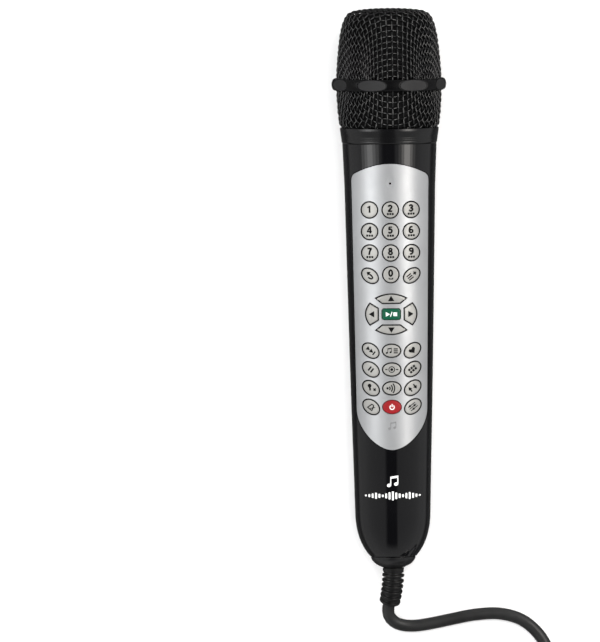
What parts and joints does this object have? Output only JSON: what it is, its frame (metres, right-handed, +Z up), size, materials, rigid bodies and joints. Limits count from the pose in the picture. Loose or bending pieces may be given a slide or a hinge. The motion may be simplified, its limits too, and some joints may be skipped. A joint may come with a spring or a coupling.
{
  "type": "karaoke microphone",
  "caption": "Handheld karaoke microphone: woven-wire ball head with a faceted anti-roll ring, gloss body with a silver keypad of press keys, ribbed strain relief, and a corded jack plug.",
  "frame": {"origin": "centre of the footprint of the microphone without its cord, on the ground that it lies on", "axes": "+Y along the handle towards the head, +Z up, out of the keypad, +X to the right as the keypad is read"},
  "size_m": [0.1154, 0.4274, 0.0561],
  "materials": {
    "grille_wire": "satin black enamel on woven steel wire",
    "ring_rubber": "satin dark grey",
    "foam": "open-cell foam, matt black",
    "capsule_metal": "plain",
    "capsule_rubber": "matt",
    "collar_black": "satin gloss with fine turned lines",
    "shell_black": "high gloss",
    "panel_silver": "fine satin metallic silver",
    "key_grey": "satin light grey with dark print",
    "key_green": "satin green with white print",
    "key_red": "satin red with white print",
    "light_lens": "clear dark lens",
    "mat_silicone": "matt translucent silicone",
    "board_green": "solder-masked glass-fibre board",
    "chip_black": "moulded package",
    "screw_steel": "plain",
    "lead_wire": "plain sleeve",
    "tail_black": "satin black",
    "relief_rubber": "matt black",
    "clamp_nylon": "natural nylon",
    "cord_jacket": "satin black jacket",
    "tie_fabric": "hook-and-loop strap",
    "plug_boot": "satin black",
    "plug_metal": "nickel plated"
  },
  "bodies": {
    "microphone": {"grille_upper": "grille_wire", "grille_lower": "grille_wire", "anti_roll_ring": "ring_rubber", "windscreen_foam": "foam", "capsule": "capsule_metal", "capsule_mount": "capsule_rubber", "collar": "collar_black", "front_shell": "shell_black", "rear_shell": "shell_black", "keypad_panel": "panel_silver", "status_light": "light_lens", "keypad_mat": "mat_silicone", "main_board": "board_green", "processor_chip": "chip_black", "memory_chip": "chip_black", "shell_screw_1": "screw_steel", "shell_screw_2": "screw_steel", "shell_screw_3": "screw_steel", "shell_screw_4": "screw_steel", "capsule_leads": "lead_wire", "tail_cap": "tail_black", "strain_relief": "relief_rubber", "cable_clamp": "clamp_nylon", "inner_cable": "cord_jacket", "cord": "cord_jacket", "cord_coil": "cord_jacket", "cord_tail": "cord_jacket", "cord_tie": "tie_fabric", "plug_boot": "plug_boot", "plug_sleeve": "plug_metal", "plug_tip": "plug_metal"},
    "key_1": {"key_1": "key_grey"},
    "key_2": {"key_2": "key_grey"},
    "key_3": {"key_3": "key_grey"},
    "key_4": {"key_4": "key_grey"},
    "key_5": {"key_5": "key_grey"},
    "key_6": {"key_6": "key_grey"},
    "key_7": {"key_7": "key_grey"},
    "key_8": {"key_8": "key_grey"},
    "key_9": {"key_9": "key_grey"},
    "key_back": {"key_back": "key_grey"},
    "key_0": {"key_0": "key_grey"},
    "key_reserve": {"key_reserve": "key_grey"},
    "key_up": {"key_up": "key_grey"},
    "key_down": {"key_down": "key_grey"},
    "key_left": {"key_left": "key_grey"},
    "key_right": {"key_right": "key_grey"},
    "key_play": {"key_play": "key_green"},
    "key_jump": {"key_jump": "key_grey"},
    "key_song": {"key_song": "key_grey"},
    "key_favourite": {"key_favourite": "key_grey"},
    "key_pause": {"key_pause": "key_grey"},
    "key_record": {"key_record": "key_grey"},
    "key_function": {"key_function": "key_grey"},
    "key_mic_volume": {"key_mic_volume": "key_grey"},
    "key_echo": {"key_echo": "key_grey"},
    "key_key_shift": {"key_key_shift": "key_grey"},
    "key_tempo": {"key_tempo": "key_grey"},
    "key_power": {"key_power": "key_red"},
    "key_mode": {"key_mode": "key_grey"}
  },
  "joints": [
    {"name": "key_1_press", "type": "slide", "parent": "microphone", "child": "key_1", "axis": [0, 0.0492, -0.9988], "range_m": [0, 0.0006], "stiffness_N_per_m": 1200},
    {"name": "key_2_press", "type": "slide", "parent": "microphone", "child": "key_2", "axis": [0, 0.0492, -0.9988], "range_m": [0, 0.0006], "stiffness_N_per_m": 1200},
    {"name": "key_3_press", "type": "slide", "parent": "microphone", "child": "key_3", "axis": [0, 0.0492, -0.9988], "range_m": [0, 0.0006], "stiffness_N_per_m": 1200},
    {"name": "key_4_press", "type": "slide", "parent": "microphone", "child": "key_4", "axis": [0, 0.0492, -0.9988], "range_m": [0, 0.0006], "stiffness_N_per_m": 1200},
    {"name": "key_5_press", "type": "slide", "parent": "microphone", "child": "key_5", "axis": [0, 0.0492, -0.9988], "range_m": [0, 0.0006], "stiffness_N_per_m": 1200},
    {"name": "key_6_press", "type": "slide", "parent": "microphone", "child": "key_6", "axis": [0, 0.0492, -0.9988], "range_m": [0, 0.0006], "stiffness_N_per_m": 1200},
    {"name": "key_7_press", "type": "slide", "parent": "microphone", "child": "key_7", "axis": [0, 0.0492, -0.9988], "range_m": [0, 0.0006], "stiffness_N_per_m": 1200},
    {"name": "key_8_press", "type": "slide", "parent": "microphone", "child": "key_8", "axis": [0, 0.0492, -0.9988], "range_m": [0, 0.0006], "stiffness_N_per_m": 1200},
    {"name": "key_9_press", "type": "slide", "parent": "microphone", "child": "key_9", "axis": [0, 0.0492, -0.9988], "range_m": [0, 0.0006], "stiffness_N_per_m": 1200},
    {"name": "key_back_press", "type": "slide", "parent": "microphone", "child": "key_back", "axis": [0, 0.0492, -0.9988], "range_m": [0, 0.0006], "stiffness_N_per_m": 1200},
    {"name": "key_0_press", "type": "slide", "parent": "microphone", "child": "key_0", "axis": [0, 0.0492, -0.9988], "range_m": [0, 0.0006], "stiffness_N_per_m": 1200},
    {"name": "key_reserve_press", "type": "slide", "parent": "microphone", "child": "key_reserve", "axis": [0, 0.0492, -0.9988], "range_m": [0, 0.0006], "stiffness_N_per_m": 1200},
    {"name": "key_up_press", "type": "slide", "parent": "microphone", "child": "key_up", "axis": [0, 0.0492, -0.9988], "range_m": [0, 0.0006], "stiffness_N_per_m": 1200},
    {"name": "key_down_press", "type": "slide", "parent": "microphone", "child": "key_down", "axis": [0, 0.0492, -0.9988], "range_m": [0, 0.0006], "stiffness_N_per_m": 1200},
    {"name": "key_left_press", "type": "slide", "parent": "microphone", "child": "key_left", "axis": [0, 0.0492, -0.9988], "range_m": [0, 0.0006], "stiffness_N_per_m": 1200},
    {"name": "key_right_press", "type": "slide", "parent": "microphone", "child": "key_right", "axis": [0, 0.0492, -0.9988], "range_m": [0, 0.0006], "stiffness_N_per_m": 1200},
    {"name": "key_play_press", "type": "slide", "parent": "microphone", "child": "key_play", "axis": [0, 0.0492, -0.9988], "range_m": [0, 0.0006], "stiffness_N_per_m": 1200},
    {"name": "key_jump_press", "type": "slide", "parent": "microphone", "child": "key_jump", "axis": [0, 0.0492, -0.9988], "range_m": [0, 0.0006], "stiffness_N_per_m": 1200},
    {"name": "key_song_press", "type": "slide", "parent": "microphone", "child": "key_song", "axis": [0, 0.0492, -0.9988], "range_m": [0, 0.0006], "stiffness_N_per_m": 1200},
    {"name": "key_favourite_press", "type": "slide", "parent": "microphone", "child": "key_favourite", "axis": [0, 0.0492, -0.9988], "range_m": [0, 0.0006], "stiffness_N_per_m": 1200},
    {"name": "key_pause_press", "type": "slide", "parent": "microphone", "child": "key_pause", "axis": [0, 0.0492, -0.9988], "range_m": [0, 0.0006], "stiffness_N_per_m": 1200},
    {"name": "key_record_press", "type": "slide", "parent": "microphone", "child": "key_record", "axis": [0, 0.0492, -0.9988], "range_m": [0, 0.0006], "stiffness_N_per_m": 1200},
    {"name": "key_function_press", "type": "slide", "parent": "microphone", "child": "key_function", "axis": [0, 0.0492, -0.9988], "range_m": [0, 0.0006], "stiffness_N_per_m": 1200},
    {"name": "key_mic_volume_press", "type": "slide", "parent": "microphone", "child": "key_mic_volume", "axis": [0, 0.0492, -0.9988], "range_m": [0, 0.0006], "stiffness_N_per_m": 1200},
    {"name": "key_echo_press", "type": "slide", "parent": "microphone", "child": "key_echo", "axis": [0, 0.0492, -0.9988], "range_m": [0, 0.0006], "stiffness_N_per_m": 1200},
    {"name": "key_key_shift_press", "type": "slide", "parent": "microphone", "child": "key_key_shift", "axis": [0, 0.0492, -0.9988], "range_m": [0, 0.0006], "stiffness_N_per_m": 1200},
    {"name": "key_tempo_press", "type": "slide", "parent": "microphone", "child": "key_tempo", "axis": [0, 0.0492, -0.9988], "range_m": [0, 0.0006], "stiffness_N_per_m": 1200},
    {"name": "key_power_press", "type": "slide", "parent": "microphone", "child": "key_power", "axis": [0, 0.0492, -0.9988], "range_m": [0, 0.0006], "stiffness_N_per_m": 1200},
    {"name": "key_mode_press", "type": "slide", "parent": "microphone", "child": "key_mode", "axis": [0, 0.0492, -0.9988], "range_m": [0, 0.0006], "stiffness_N_per_m": 1200}
  ]
}
